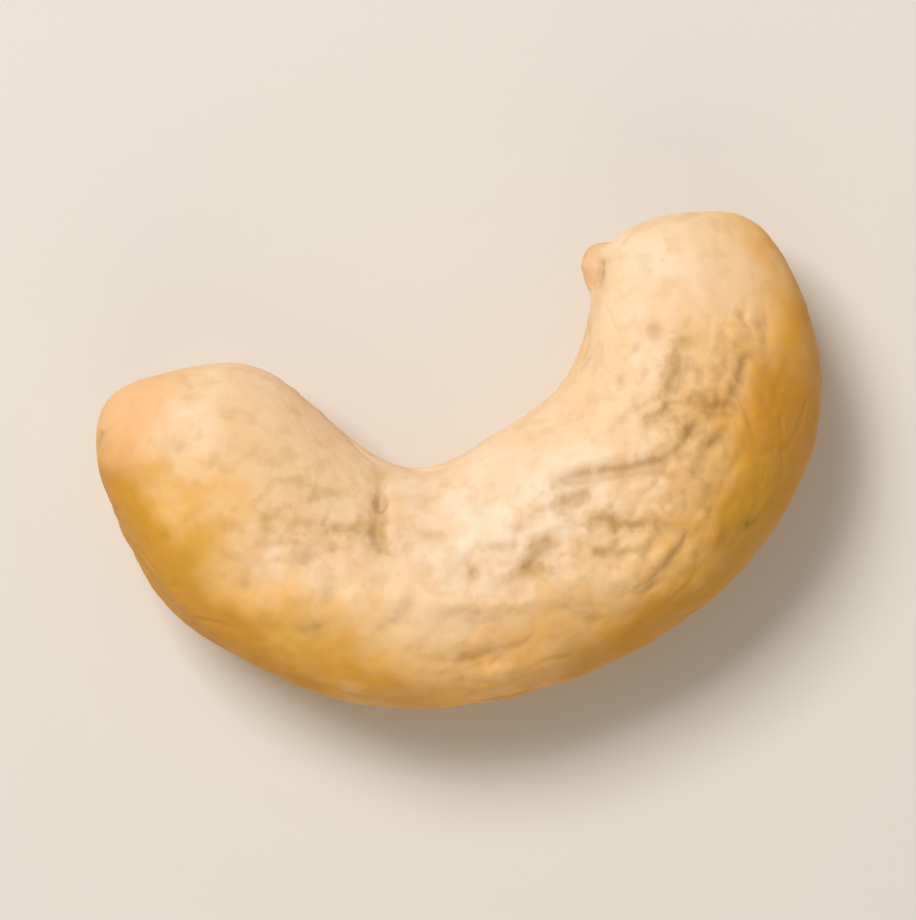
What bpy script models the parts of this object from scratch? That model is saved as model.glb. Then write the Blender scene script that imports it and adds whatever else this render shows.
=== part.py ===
"""A whole, shelled cashew kernel, lying on its side as it does on a table.

Metres, +Z up. The bend of the kernel lies flat in X and Y: its length runs along X, its hollow side faces
+Y, and its two seed halves lie one above the other, so the seam between them is a line round the rim.
The origin is on the surface that the kernel rests on, under the middle of its length and width.

The kernel grew as one seed, so it is one solid. Its rim is one smooth closed curve through stations that run
from the blunt end to the root end, and each station has an inner point (on the hollow side), an outer point
and its thickness. The skin is a squared oval between those two points. Swells, folds, the seam and the root
tip are then raised from that skin along its normal.
"""

import math

import bmesh
import bpy
import numpy as np
from mathutils import Vector, noise

# Driving dimensions, in millimetres
LENGTH = 31.0
THICKNESS = 10.2
FOOT_DEPTH = 0.13
SEAM_DEPTH = 0.36
SEAM_HALF_WIDTH = 0.50
SEAM_WANDER = 0.50
SEAM_RISE = 1.90
ROOT_TIP_HEIGHT = 0.90
ROOT_TIP_RADIUS = 0.66

# The length and the thickness that the stations below are drawn at. Others are reached by scaling.
DRAWN_LENGTH = 31.0
DRAWN_THICKNESS = 10.6

# How fine the mesh is: faces along each side, and across each side and each end.
FACES_ALONG = 68
FACES_ACROSS = 18
# Faces near the seam are this share of the height that even ones would have.
SEAM_FACE_SHARE = 0.55
# How strongly the faces are gathered towards the two ends, which are smaller than the middle.
END_GATHERING = 0.70

# The squared oval: 2 is an ellipse, and more is squarer.
SECTION_POWER = 2.25
# The highest line of the skin lies this share of the half-width towards the outer rim.
CREST_SHIFT = 0.07

# The two ends of the kernel, and the stations between them from the blunt end to the root end: inner point
# x and y, outer point x and y, height above the seam and depth below it.
BLUNT_END = (-15.64, 0.98)
ROOT_END = (10.85, 10.66)
STATIONS = [
    (-14.78, 2.88, -15.26, -1.13, 1.95, 1.90),
    (-12.22, 3.80, -14.22, -3.44, 3.55, 3.80),
    (-8.79, 4.01, -12.36, -6.44, 4.55, 5.20),
    (-5.93, 2.06, -9.15, -8.66, 4.95, 5.10),
    (-3.40, 0.10, -5.01, -10.36, 5.10, 5.08),
    (-0.93, -0.20, 0.07, -10.56, 5.20, 5.30),
    (1.74, 1.26, 5.49, -9.20, 5.25, 5.10),
    (4.15, 2.98, 10.38, -6.32, 5.10, 5.12),
    (5.42, 5.77, 13.99, -2.16, 4.75, 5.35),
    (5.82, 8.10, 15.49, 3.20, 4.10, 4.30),
    (7.40, 9.96, 13.74, 8.90, 2.60, 2.55),
]
HEIGHT_COLUMN = 4
DEPTH_COLUMN = 5

# Slow swells of the skin: wavelength and height, and where in the noise they are read.
SWELLS = [(7.5, 0.20), (3.4, 0.085)]
SWELL_PLACE = Vector((3.7, 1.9, 8.2))
# The swells fade towards the rim, so that the outline stays as drawn: the share of them left at the seam, and
# how far up the skin they are whole.
SWELL_AT_RIM = 0.15
SWELL_WHOLE_FROM = 0.60
SEAM_WANDER_WAVELENGTH = 6.0
# Where on the outer rim the seam rises into view from above, and how far to each side it does.
SEAM_RISE_AT = (-12.3, -5.6)
SEAM_RISE_REACH = 3.6
# The seam's depth as shares of SEAM_DEPTH: at the blunt end, added past it, and added on the hollow side.
SEAM_AT_BLUNT_END = 0.35
SEAM_PAST_BLUNT_END = 0.30
SEAM_IN_HOLLOW = 0.35
# Where in x the blunt end gives way, where in y the hollow side begins, and how far to each side it reaches.
BLUNT_END_GIVES_WAY = (-15.0, -9.0)
HOLLOW_BEGINS = (-6.0, 1.0)
HOLLOW_REACH = 9.0

# The middle of the root tip, and how fast it fades out down the hollow side, where 1 is as fast as elsewhere.
ROOT_TIP = (5.80, 8.76, 0.10)
ROOT_TIP_FADING = 0.42

# Folds of the upper face: each a path in x and y, its half-width and its depth. A depth below 0 is a ridge.
UPPER_FOLDS = [
    ([(3.74, -0.90), (5.17, -0.64), (6.86, -0.51), (7.90, -0.39)], 0.50, 0.24),
    ([(3.36, -2.40), (4.53, -2.01), (5.57, -1.37)], 0.50, 0.13),
    ([(2.31, -5.37), (2.97, -4.47), (3.21, -3.89), (4.27, -3.17), (6.36, -2.80), (7.40, -3.04)], 0.56, 0.20),
    ([(8.29, -4.94), (8.81, -4.23), (9.46, -3.63), (9.99, -3.30)], 0.50, 0.18),
    ([(8.93, 3.34), (9.33, 3.84), (9.40, 4.56)], 0.50, 0.16),
    ([(7.79, 1.70), (8.43, 1.91), (8.87, 2.14), (10.00, 2.15), (11.14, 2.01)], 0.50, 0.15),
    ([(11.64, 2.77), (12.07, 3.77), (12.21, 4.49)], 0.52, 0.12),
    ([(10.50, 0.20), (10.93, 0.77), (11.21, 1.49)], 0.50, 0.13),
    ([(-3.53, -1.37), (-3.59, -2.40), (-3.64, -3.04), (-3.40, -3.83)], 0.50, 0.20),
    ([(-6.39, -4.23), (-6.00, -3.83), (-5.50, -3.57)], 0.52, 0.12),
    ([(-9.64, -2.80), (-8.93, -3.23), (-7.90, -3.50), (-7.07, -3.66)], 0.52, 0.10),
    ([(-2.10, -5.90), (-2.36, -6.43), (-3.00, -7.09)], 0.52, 0.13),
    ([(0.07, -8.70), (1.01, -8.37), (1.41, -8.23), (2.84, -7.86)], 0.52, 0.16),
    ([(-14.40, -0.70), (-13.86, -0.90), (-13.10, -1.30)], 0.80, 0.16),
    ([(-8.00, -5.90), (-4.60, -5.95), (0.10, -5.95), (3.60, -5.50), (7.20, -4.90)], 0.75, -0.17),
    ([(7.20, -4.90), (10.20, -2.90), (12.20, -0.10), (12.70, 3.30)], 0.75, -0.13),
    ([(3.90, 0.20), (6.20, 0.40), (8.00, 1.10)], 0.60, -0.13),
    ([(-2.90, -2.10), (-2.00, -1.90)], 0.70, -0.16),
]

# Folds of the lower face, in the same form.
LOWER_FOLDS = [
    ([(-9.20, -1.60), (-7.40, -2.90), (-5.30, -3.60), (-3.00, -3.70)], 0.55, 0.20),
    ([(-8.60, -5.20), (-6.10, -6.60), (-3.40, -7.30)], 0.52, 0.15),
    ([(-1.80, -2.00), (-1.20, -3.20), (-1.50, -4.40)], 0.50, 0.17),
    ([(0.60, -4.20), (3.10, -3.90), (5.60, -3.10), (7.70, -1.90)], 0.55, 0.20),
    ([(2.40, -6.60), (4.80, -6.10), (7.40, -4.90)], 0.50, 0.15),
    ([(7.40, 0.60), (8.80, 1.80), (9.60, 3.30), (9.80, 4.90)], 0.52, 0.16),
    ([(10.60, -0.60), (11.90, 1.00), (12.50, 2.90)], 0.50, 0.14),
    ([(-11.90, 0.90), (-10.40, 0.20), (-9.50, -0.40)], 0.50, 0.14),
]
# Folds start this far up the skin from the seam, and are whole from the second share on.
FOLDS_FROM = (0.05, 0.30)

FLESH_COLOUR = (0.80, 0.56, 0.31)
FLESH_ROUGHNESS = 0.48

METRES_PER_MILLIMETRE = 0.001


def smooth_step(values, low, high):
    """0 up to low, 1 from high, and smooth between them."""
    share = np.clip((values - low) / (high - low), 0.0, 1.0)
    return share * share * (3.0 - 2.0 * share)


def noise_at(points, wavelength):
    """Smooth noise from about -1 to 1 at each point."""
    return np.array([noise.noise(Vector(p) / wavelength + SWELL_PLACE) for p in points])


def closed_spline(knots):
    """A function that reads the smooth closed curve through evenly counted knots."""
    knots = np.asarray(knots, float)
    count = len(knots)
    ring = np.eye(count)
    bending = 4.0 * ring + np.roll(ring, 1, 1) + np.roll(ring, -1, 1)
    second = np.linalg.solve(bending, 6.0 * (np.roll(knots, -1, 0) - 2.0 * knots + np.roll(knots, 1, 0)))

    def read(place):
        start = np.floor(place).astype(int)
        after = (place - start).reshape(-1, *[1] * (knots.ndim - 1))
        before = 1.0 - after
        near, far = start % count, (start + 1) % count
        return (
            before * knots[near] + after * knots[far]
            + ((before**3 - before) * second[near] + (after**3 - after) * second[far]) / 6.0
        )

    return read


def rim_curve():
    """The rim in x and y: out along the outer points to the root end, and back along the inner ones."""
    outer = [(s[2], s[3]) for s in STATIONS]
    inner = [(s[0], s[1]) for s in STATIONS]
    return closed_spline([BLUNT_END, *outer, ROOT_END, *inner[::-1]])


def height_curve(column):
    """The thickness on one side of the seam. It passes through 0 at each end, which rounds the ends."""
    heights = [s[column] for s in STATIONS]
    return closed_spline([0.0, *heights, 0.0, *[-h for h in heights[::-1]]])


def skin(directions):
    """The plain skin, for unit directions from the kernel's middle: -X is the blunt end and +Z is up.

    Returns the points, and how far up the skin each is, from -1 at the lower crest to 1 at the upper one.
    """
    share = np.arccos(np.clip(-directions[:, 0], -1.0, 1.0)) / math.pi
    share -= END_GATHERING * np.sin(2.0 * math.pi * share) / (2.0 * math.pi)
    place = share * (len(STATIONS) + 1)
    turn = np.arctan2(directions[:, 2], directions[:, 1])
    across, up = np.cos(turn), np.sin(turn)
    squared = (np.abs(across) ** SECTION_POWER + np.abs(up) ** SECTION_POWER) ** (-1.0 / SECTION_POWER)
    across, up = across * squared, up * squared
    rim = rim_curve()
    outer, inner = rim(place), rim(-place)
    towards_inner = (across - CREST_SHIFT * up**2)[:, None]
    flat = (outer + inner) / 2.0 + (inner - outer) / 2.0 * towards_inner
    height = np.where(up > 0.0, height_curve(HEIGHT_COLUMN)(place), height_curve(DEPTH_COLUMN)(place)) * up
    return np.column_stack([flat * (LENGTH / DRAWN_LENGTH), height * (THICKNESS / DRAWN_THICKNESS)]), up


def fold_depth(points, path, half_width, depth):
    """How far one fold sinks the skin at each point: deepest on its path, and fading out at both ends."""
    path = np.array(path)
    nearest = np.full(len(points), np.inf)
    along = np.zeros(len(points))
    run = 0.0
    for start, step in zip(path[:-1], np.diff(path, axis=0)):
        length = np.linalg.norm(step)
        share = np.clip(((points[:, :2] - start) @ step) / length**2, 0.0, 1.0)
        away = np.linalg.norm(points[:, :2] - start - share[:, None] * step, axis=1)
        along = np.where(away < nearest, run + share * length, along)
        nearest = np.minimum(away, nearest)
        run += length
    fade = np.sin(math.pi * (along + half_width) / (run + 2.0 * half_width)) ** 0.5
    return depth * fade * np.exp(-((nearest / half_width) ** 2))


def seam_depth(points):
    """The seam between the two halves: a groove that wanders round the rim, deepest on the hollow side."""
    wander = SEAM_WANDER * noise_at(points * (1.0, 1.0, 0.0), SEAM_WANDER_WAVELENGTH)
    from_rise = np.linalg.norm(points[:, :2] - SEAM_RISE_AT, axis=1) / SEAM_RISE_REACH
    wander += SEAM_RISE * np.exp(-(from_rise**2))
    past_blunt_end = smooth_step(points[:, 0], *BLUNT_END_GIVES_WAY)
    in_hollow = smooth_step(points[:, 1], *HOLLOW_BEGINS) * (np.abs(points[:, 0]) < HOLLOW_REACH)
    share = SEAM_AT_BLUNT_END + SEAM_PAST_BLUNT_END * past_blunt_end + SEAM_IN_HOLLOW * in_hollow
    return SEAM_DEPTH * share * np.exp(-(((points[:, 2] - wander) / SEAM_HALF_WIDTH) ** 2))


def root_tip_height(points):
    """The small beak of the root tip, at the inner corner of the root end."""
    offset = points - ROOT_TIP
    offset[:, 1] *= np.where(offset[:, 1] < 0.0, ROOT_TIP_FADING, 1.0)
    away = np.linalg.norm(offset, axis=1) / ROOT_TIP_RADIUS
    return ROOT_TIP_HEIGHT * np.exp(-(away**3))


def relief(points, up):
    """How far the real surface stands out from the plain skin."""
    raised = root_tip_height(points) - seam_depth(points)
    swelling = SWELL_AT_RIM + (1.0 - SWELL_AT_RIM) * smooth_step(np.abs(up), 0.0, SWELL_WHOLE_FROM)
    for wavelength, height in SWELLS:
        raised += height * swelling * noise_at(points, wavelength)
    for folds, side in ((UPPER_FOLDS, up), (LOWER_FOLDS, -up)):
        for path, half_width, depth in folds:
            raised -= smooth_step(side, *FOLDS_FROM) * fold_depth(points, path, half_width, depth)
    return raised


def fine_cube():
    """A cube cut into a grid of faces, more of them along X than across."""
    grid = bmesh.new()
    bmesh.ops.create_cube(grid, size=2.0)
    lengthwise = [e for e in grid.edges if e.verts[0].co.x != e.verts[1].co.x]
    bmesh.ops.subdivide_edges(grid, edges=lengthwise, cuts=FACES_ALONG - 1, use_grid_fill=True)
    crosswise = [e for e in grid.edges if abs(e.verts[0].co.x - e.verts[1].co.x) < 1.0 / FACES_ALONG]
    bmesh.ops.subdivide_edges(grid, edges=crosswise, cuts=FACES_ACROSS - 1, use_grid_fill=True)
    return grid


def directions_of(grid):
    """The unit direction that each corner of the cube stands for, with the rows gathered towards the seam."""
    corners = np.array([v.co for v in grid.verts])
    corners[:, 2] *= SEAM_FACE_SHARE + (1.0 - SEAM_FACE_SHARE) * np.abs(corners[:, 2])
    spread = np.tan(corners * math.pi / 4.0)
    return spread / np.linalg.norm(spread, axis=1)[:, None]


def place_corners(grid, points):
    """Moves the corners of the grid to the points, and returns the mesh's normals there."""
    for corner, point in zip(grid.verts, points):
        corner.co = point
    grid.normal_update()
    return np.array([v.normal for v in grid.verts])


def cashew_kernel():
    """The kernel as one closed mesh object, resting on z = 0."""
    grid = fine_cube()
    points, up = skin(directions_of(grid))
    normals = place_corners(grid, points)
    points = points + normals * relief(points, up)[:, None]
    foot = points[:, 2].min() + FOOT_DEPTH
    points[:, 2] = np.maximum(points[:, 2], foot) - foot
    points[:, :2] -= (points[:, :2].min(axis=0) + points[:, :2].max(axis=0)) / 2.0
    place_corners(grid, points * METRES_PER_MILLIMETRE)
    mesh = bpy.data.meshes.new("cashew_kernel")
    grid.to_mesh(mesh)
    grid.free()
    mesh.shade_smooth()
    kernel = bpy.data.objects.new("cashew_kernel", mesh)
    bpy.context.scene.collection.objects.link(kernel)
    return kernel


def kernel_flesh():
    """Creamy tan flesh with a soft, slightly oily sheen."""
    flesh = bpy.data.materials.new("kernel_flesh")
    flesh.use_nodes = True
    shader = flesh.node_tree.nodes["Principled BSDF"]
    shader.inputs["Base Color"].default_value = (*FLESH_COLOUR, 1.0)
    shader.inputs["Roughness"].default_value = FLESH_ROUGHNESS
    shader.inputs["Metallic"].default_value = 0.0
    return flesh


def main():
    for obj in list(bpy.data.objects):
        bpy.data.objects.remove(obj)
    cashew_kernel().data.materials.append(kernel_flesh())


main()
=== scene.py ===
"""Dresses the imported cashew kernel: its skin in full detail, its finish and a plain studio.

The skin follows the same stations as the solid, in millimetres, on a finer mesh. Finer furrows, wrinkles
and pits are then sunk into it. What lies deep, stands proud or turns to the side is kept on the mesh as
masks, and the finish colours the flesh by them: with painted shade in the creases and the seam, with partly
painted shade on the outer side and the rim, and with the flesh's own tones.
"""

import logging
import math
import random
from collections.abc import Callable, Sequence
from dataclasses import dataclass, field, replace
from enum import Enum
from functools import cache

import bmesh
import bpy
import numpy as np
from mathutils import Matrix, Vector, noise


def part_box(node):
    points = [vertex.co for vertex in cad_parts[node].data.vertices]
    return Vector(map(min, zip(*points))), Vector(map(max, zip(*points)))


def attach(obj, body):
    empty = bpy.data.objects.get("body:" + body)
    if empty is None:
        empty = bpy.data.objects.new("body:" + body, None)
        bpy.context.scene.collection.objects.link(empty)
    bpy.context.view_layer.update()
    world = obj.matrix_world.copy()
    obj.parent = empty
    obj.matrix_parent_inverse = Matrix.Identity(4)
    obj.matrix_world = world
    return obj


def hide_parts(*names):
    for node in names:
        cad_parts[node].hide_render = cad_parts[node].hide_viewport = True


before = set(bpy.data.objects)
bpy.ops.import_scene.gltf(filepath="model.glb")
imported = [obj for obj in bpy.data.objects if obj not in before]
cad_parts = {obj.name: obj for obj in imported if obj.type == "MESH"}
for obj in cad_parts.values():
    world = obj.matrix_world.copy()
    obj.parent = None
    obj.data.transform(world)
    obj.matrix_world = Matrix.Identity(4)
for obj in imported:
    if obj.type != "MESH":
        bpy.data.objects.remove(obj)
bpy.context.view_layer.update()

LOG = logging.getLogger("cashew")
KERNEL_NODE = "cashew_kernel"
ROOT_BODY = "root"
PIECE_NAME = "kernel_skin"
METRES_PER_MILLIMETRE = 0.001
UPPER_FACE_FROM = (0.0, 0.35)
TINY = 1e-9

Range = tuple[float, float]
Triple = tuple[float, float, float]
Colour = Triple
Array = np.ndarray
Socket = bpy.types.NodeSocket
Group = bpy.types.ShaderNodeTree


class Side(Enum):
    """A face of the kernel, as the sign of its height above the seam."""

    UPPER = 1.0
    LOWER = -1.0


def listed(kind: type, *rows: tuple) -> list:
    """A dataclass field that starts as a list of one kind, each made of its row of values."""
    return field(default_factory=lambda: [kind(*row) for row in rows])


def smooth_step(values: Array, low: float, high: float) -> Array:
    """Goes smoothly from 0, for values up to low, to 1, for values from high on."""
    share = np.clip((values - low) / (high - low), 0.0, 1.0)
    return share * share * (3.0 - 2.0 * share)


def noise_at(points: Array, wavelength: float | Triple, place: Vector) -> Array:
    """Reads smooth noise, from about -1 to 1. The origin of the points lies at that place in the noise."""
    scaled = points / np.asarray(wavelength)
    return np.array([noise.noise(Vector(p) + place) for p in scaled])


def closed_spline(knots: list) -> Callable[[Array], Array]:
    """Runs a smooth closed curve through evenly counted knots.

    Args:
        knots: Numbers or points, in order round the curve.

    Returns:
        A function that reads the curve at places counted in knots.
    """
    values = np.asarray(knots, float)
    count = len(values)
    ring = np.eye(count)
    bending = 4.0 * ring + np.roll(ring, 1, 1) + np.roll(ring, -1, 1)
    second = np.linalg.solve(bending, 6.0 * (np.roll(values, -1, 0) - 2.0 * values + np.roll(values, 1, 0)))

    def read(place: Array) -> Array:
        """Reads the curve at places counted in knots."""
        start = np.floor(place).astype(int)
        after = (place - start).reshape(-1, *[1] * (values.ndim - 1))
        before = 1.0 - after
        near, far = start % count, (start + 1) % count
        return (
            before * values[near] + after * values[far]
            + ((before**3 - before) * second[near] + (after**3 - after) * second[far]) / 6.0
        )

    return read


@dataclass(frozen=True)
class Furrow:
    """A furrow of the skin, or a ridge where its depth is below 0.

    Attributes:
        path: The x and y of each of its points in turn, in millimetres.
        half_width: From its middle to where it has mostly faded.
        depth: How deep it is in the middle of its path.
    """

    path: tuple[float, ...]
    half_width: float
    depth: float


@dataclass(frozen=True)
class Scatter:
    """Short furrows that are drawn at random.

    Attributes:
        places, turns: The stations and the angles round the section between which they start.
        crossing: How far their headings stray from the kernel's length.
    """

    count: int
    places: Range
    turns: Range
    crossing: float
    half_widths: Range
    depths: Range


@dataclass(frozen=True)
class Warp:
    """A small shift of points by noise, so that nothing read there runs quite straight.

    Attributes:
        swings: The wavelength and the reach of each swing, in millimetres.
        place: Where in the noise the shift along X is read.
        step: How much further on it is read for each next axis.
    """

    swings: tuple[Range, ...]
    place: Triple
    step: Triple

    def moved(self, points: Array, read_at: Array) -> Array:
        """Shifts points by the noise that is read for each of them at another one."""
        places = [Vector(self.place) + axis * Vector(self.step) for axis in range(3)]
        for wavelength, reach in self.swings:
            shifts = [reach * noise_at(read_at, wavelength, place) for place in places]
            points = points + np.column_stack(shifts)
        return points


@dataclass(frozen=True)
class Spot:
    """A soft round spot of the upper face: of a tone, a texture or a depth. Below 0 it takes some away."""

    x: float
    y: float
    radius: float
    strength: float


def spread(points: Array, spots: list[Spot]) -> Array:
    """Sums spots at points, which are shifted beforehand so that the spots get ragged borders."""
    total = np.zeros(len(points))
    for spot in spots:
        away = np.linalg.norm(points[:, :2] - (spot.x, spot.y), axis=1) / spot.radius
        total += spot.strength * np.exp(-(away**2))
    return total


@dataclass
class Skin:
    """The points of the skin, and where each of them lies on it.

    Attributes:
        points: The points in millimetres.
        place: How far along the kernel each is, counted in stations.
        across: From -1 at the outer rim to 1 at the inner one.
        up: From -1 at the lower crest to 1 at the upper one.
    """

    points: Array
    place: Array
    across: Array
    up: Array

    def straightened(self, spacing: float, reach: float) -> Array:
        """The points as they would lie if the kernel were straight, so that noise can follow its length."""
        return np.column_stack([self.place * spacing, self.across * reach, self.up * reach])

    def upper(self) -> Array:
        """How surely each point is on the upper face, from 0 at the seam and below it to 1."""
        return smooth_step(self.up, *UPPER_FACE_FROM)


@dataclass
class KernelForm:
    """The main form of the kernel, in millimetres, as its solid has it.

    Each station has its inner point x and y, its outer point x and y, its height above the seam and its depth
    below it. They run from the blunt end to the root end. The seam's strengths are its least one, and what it
    gains past the blunt end and in the hollow.
    """

    height_scale: float = 10.2 / 10.6
    foot_depth: float = 0.13
    section_power: float = 2.25
    crest_shift: float = 0.07
    blunt_end: Range = (-15.64, 0.98)
    root_end: Range = (10.85, 10.66)
    stations: list[tuple[float, ...]] = field(default_factory=lambda: [
        (-14.78, 2.88, -15.26, -1.13, 1.95, 1.9),
        (-12.22, 3.8, -14.22, -3.44, 3.55, 3.8),
        (-8.79, 4.01, -12.36, -6.44, 4.55, 5.2),
        (-5.93, 2.06, -9.15, -8.66, 4.95, 5.1),
        (-3.4, 0.1, -5.01, -10.36, 5.1, 5.08),
        (-0.93, -0.2, 0.07, -10.56, 5.2, 5.3),
        (1.74, 1.26, 5.49, -9.2, 5.25, 5.1),
        (4.15, 2.98, 10.38, -6.32, 5.1, 5.12),
        (5.42, 5.77, 13.99, -2.16, 4.75, 5.35),
        (5.82, 8.1, 15.49, 3.2, 4.1, 4.3),
        (7.4, 9.96, 13.74, 8.9, 2.6, 2.55),
    ])
    swells: tuple[Range, ...] = ((7.5, 0.20), (3.4, 0.085))
    swell_place: Vector = field(default_factory=lambda: Vector((3.7, 1.9, 8.2)))
    swell_at_rim: float = 0.15
    swell_whole_from: float = 0.60
    seam_depth: float = 0.36
    seam_half_width: float = 0.50
    seam_wander: float = 0.50
    seam_wander_wavelength: float = 6.0
    seam_rise: float = 1.90
    seam_rise_at: Range = (-12.3, -5.6)
    seam_rise_reach: float = 3.6
    seam_strengths: Triple = (0.35, 0.30, 0.35)
    past_blunt_end: Range = (-15.0, -9.0)
    into_hollow: Range = (-6.0, 1.0)
    hollow_half_length: float = 9.0
    root_tip: Triple = (5.80, 8.76, 0.10)
    root_tip_fading: float = 0.42
    root_tip_height: float = 0.90
    root_tip_radius: float = 0.66

    @property
    def last_place(self) -> int:
        """The place of the root end, where the blunt end is 0."""
        return len(self.stations) + 1

    def rim(self, place: Array) -> Array:
        """The rim in x and y: out along the outer points to the root end, and back along the inner ones."""
        outer = [s[2:4] for s in self.stations]
        inner = [s[0:2] for s in self.stations]
        return closed_spline([self.blunt_end, *outer, self.root_end, *inner[::-1]])(place)

    def height(self, place: Array, column: int) -> Array:
        """The thickness on one side of the seam, which passes through 0 at each end."""
        heights = [s[column] for s in self.stations]
        return closed_spline([0.0, *heights, 0.0, *[-h for h in heights[::-1]]])(place)

    def skin(self, place: Array, turn: Array) -> Skin:
        """Finds the plain skin.

        Args:
            place: How far along the kernel, counted in stations.
            turn: The angle round the section, 0 at the inner rim and a quarter turn at the upper crest.

        Returns:
            The skin there.
        """
        power = self.section_power
        across, up = np.cos(turn), np.sin(turn)
        squared = (np.abs(across) ** power + np.abs(up) ** power) ** (-1.0 / power)
        across, up = across * squared, up * squared
        outer, inner = self.rim(place), self.rim(-place)
        towards_inner = (across - self.crest_shift * up**2)[:, None]
        flat = (outer + inner) / 2.0 + (inner - outer) / 2.0 * towards_inner
        height = np.where(up > 0.0, self.height(place, 4), self.height(place, 5)) * up * self.height_scale
        return Skin(np.column_stack([flat, height]), place, across, up)

    def seam(self, points: Array) -> tuple[Array, Array]:
        """Finds the seam between the two halves.

        Args:
            points: Points of the skin.

        Returns:
            How strong the seam is along the rim there, and how far above it the point lies.
        """
        level = points * (1.0, 1.0, 0.0)
        wander = self.seam_wander * noise_at(level, self.seam_wander_wavelength, self.swell_place)
        from_rise = np.linalg.norm(points[:, :2] - self.seam_rise_at, axis=1) / self.seam_rise_reach
        wander += self.seam_rise * np.exp(-(from_rise**2))
        least, past_end, in_hollow = self.seam_strengths
        strength = least + past_end * smooth_step(points[:, 0], *self.past_blunt_end)
        near_middle = np.abs(points[:, 0]) < self.hollow_half_length
        strength += in_hollow * (smooth_step(points[:, 1], *self.into_hollow) * near_middle)
        return strength, points[:, 2] - wander

    def root_knob(self, points: Array) -> Array:
        """How near the middle of the root tip each point is, from 0 to 1."""
        offset = points - self.root_tip
        offset[:, 1] *= np.where(offset[:, 1] < 0.0, self.root_tip_fading, 1.0)
        away = np.linalg.norm(offset, axis=1) / self.root_tip_radius
        return np.exp(-(away**3))

    def relief(self, skin: Skin) -> Array:
        """How far the swells, the seam and the root tip stand out from the plain skin."""
        strength, above = self.seam(skin.points)
        raised = self.root_tip_height * self.root_knob(skin.points)
        raised -= self.seam_depth * strength * np.exp(-((above / self.seam_half_width) ** 2))
        off_rim = smooth_step(np.abs(skin.up), 0.0, self.swell_whole_from)
        swelling = self.swell_at_rim + (1.0 - self.swell_at_rim) * off_rim
        for wavelength, height in self.swells:
            raised += height * swelling * noise_at(skin.points, wavelength, self.swell_place)
        return raised


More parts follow.
